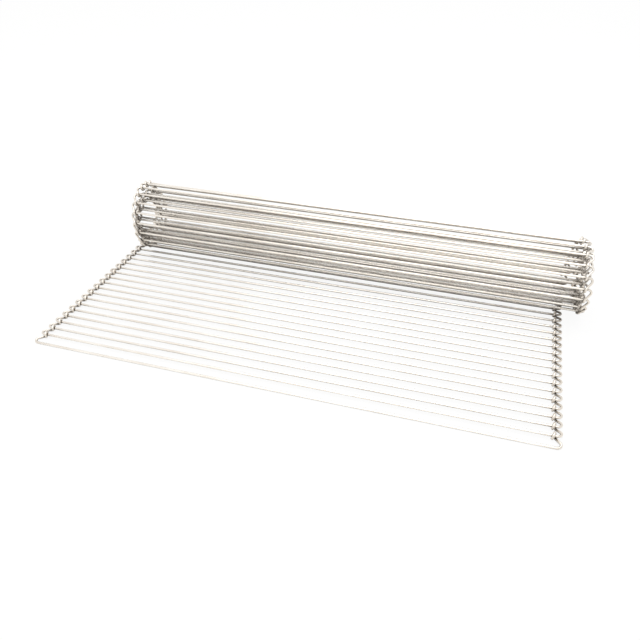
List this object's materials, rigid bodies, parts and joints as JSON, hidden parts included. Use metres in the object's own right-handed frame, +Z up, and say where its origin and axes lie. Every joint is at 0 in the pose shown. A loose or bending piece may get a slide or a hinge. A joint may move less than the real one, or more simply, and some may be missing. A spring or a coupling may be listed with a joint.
{
  "type": "wire ladder conveyor belt",
  "caption": "Ladder-type wire conveyor belt of bent stainless wire links with an eye at each end, a flat length in front and the rest rolled up.",
  "frame": {"origin": "middle of the free front crossbar, on its axis", "axes": "+X along the crossbars, +Y along the belt from its free front edge to the roll, +Z up"},
  "size_m": [0.2869, 0.139, 0.0472],
  "materials": {
    "stainless_wire": "bright drawn stainless wire"
  },
  "bodies": {
    "roll": {"link_18": "stainless_wire", "roll_turn_1": "stainless_wire", "roll_turn_2": "stainless_wire", "roll_turn_3": "stainless_wire"},
    "link_01": {"link_01": "stainless_wire"},
    "link_02": {"link_02": "stainless_wire"},
    "link_03": {"link_03": "stainless_wire"},
    "link_04": {"link_04": "stainless_wire"},
    "link_05": {"link_05": "stainless_wire"},
    "link_06": {"link_06": "stainless_wire"},
    "link_07": {"link_07": "stainless_wire"},
    "link_08": {"link_08": "stainless_wire"},
    "link_09": {"link_09": "stainless_wire"},
    "link_10": {"link_10": "stainless_wire"},
    "link_11": {"link_11": "stainless_wire"},
    "link_12": {"link_12": "stainless_wire"},
    "link_13": {"link_13": "stainless_wire"},
    "link_14": {"link_14": "stainless_wire"},
    "link_15": {"link_15": "stainless_wire"},
    "link_16": {"link_16": "stainless_wire"},
    "link_17": {"link_17": "stainless_wire"}
  },
  "joints": [
    {"name": "hinge_17", "type": "hinge", "parent": "roll", "child": "link_17", "pos_m": [0, 0.10779, 0.00142], "axis": [-1, 0, 0], "range_deg": [-13, 13]},
    {"name": "hinge_16", "type": "hinge", "parent": "link_17", "child": "link_16", "pos_m": [0, 0.10144, 0.00142], "axis": [-1, 0, 0], "range_deg": [-13, 13]},
    {"name": "hinge_15", "type": "hinge", "parent": "link_16", "child": "link_15", "pos_m": [0, 0.09509, 0.00142], "axis": [-1, 0, 0], "range_deg": [-13, 13]},
    {"name": "hinge_14", "type": "hinge", "parent": "link_15", "child": "link_14", "pos_m": [0, 0.08874, 0.00142], "axis": [-1, 0, 0], "range_deg": [-13, 13]},
    {"name": "hinge_13", "type": "hinge", "parent": "link_14", "child": "link_13", "pos_m": [0, 0.08239, 0.00142], "axis": [-1, 0, 0], "range_deg": [-13, 13]},
    {"name": "hinge_12", "type": "hinge", "parent": "link_13", "child": "link_12", "pos_m": [0, 0.07604, 0.00142], "axis": [-1, 0, 0], "range_deg": [-13, 13]},
    {"name": "hinge_11", "type": "hinge", "parent": "link_12", "child": "link_11", "pos_m": [0, 0.06969, 0.00142], "axis": [-1, 0, 0], "range_deg": [-13, 13]},
    {"name": "hinge_10", "type": "hinge", "parent": "link_11", "child": "link_10", "pos_m": [0, 0.06334, 0.00142], "axis": [-1, 0, 0], "range_deg": [-13, 13]},
    {"name": "hinge_09", "type": "hinge", "parent": "link_10", "child": "link_09", "pos_m": [0, 0.05699, 0.00142], "axis": [-1, 0, 0], "range_deg": [-13, 13]},
    {"name": "hinge_08", "type": "hinge", "parent": "link_09", "child": "link_08", "pos_m": [0, 0.05064, 0.00142], "axis": [-1, 0, 0], "range_deg": [-13, 13]},
    {"name": "hinge_07", "type": "hinge", "parent": "link_08", "child": "link_07", "pos_m": [0, 0.04429, 0.00142], "axis": [-1, 0, 0], "range_deg": [-13, 13]},
    {"name": "hinge_06", "type": "hinge", "parent": "link_07", "child": "link_06", "pos_m": [0, 0.03794, 0.00142], "axis": [-1, 0, 0], "range_deg": [-13, 13]},
    {"name": "hinge_05", "type": "hinge", "parent": "link_06", "child": "link_05", "pos_m": [0, 0.03159, 0.00142], "axis": [-1, 0, 0], "range_deg": [-13, 13]},
    {"name": "hinge_04", "type": "hinge", "parent": "link_05", "child": "link_04", "pos_m": [0, 0.02524, 0.00142], "axis": [-1, 0, 0], "range_deg": [-13, 13]},
    {"name": "hinge_03", "type": "hinge", "parent": "link_04", "child": "link_03", "pos_m": [0, 0.01889, 0.00142], "axis": [-1, 0, 0], "range_deg": [-13, 13]},
    {"name": "hinge_02", "type": "hinge", "parent": "link_03", "child": "link_02", "pos_m": [0, 0.01254, 0.00142], "axis": [-1, 0, 0], "range_deg": [-13, 13]},
    {"name": "hinge_01", "type": "hinge", "parent": "link_02", "child": "link_01", "pos_m": [0, 0.00619, 0.00142], "axis": [-1, 0, 0], "range_deg": [-13, 26]}
  ]
}
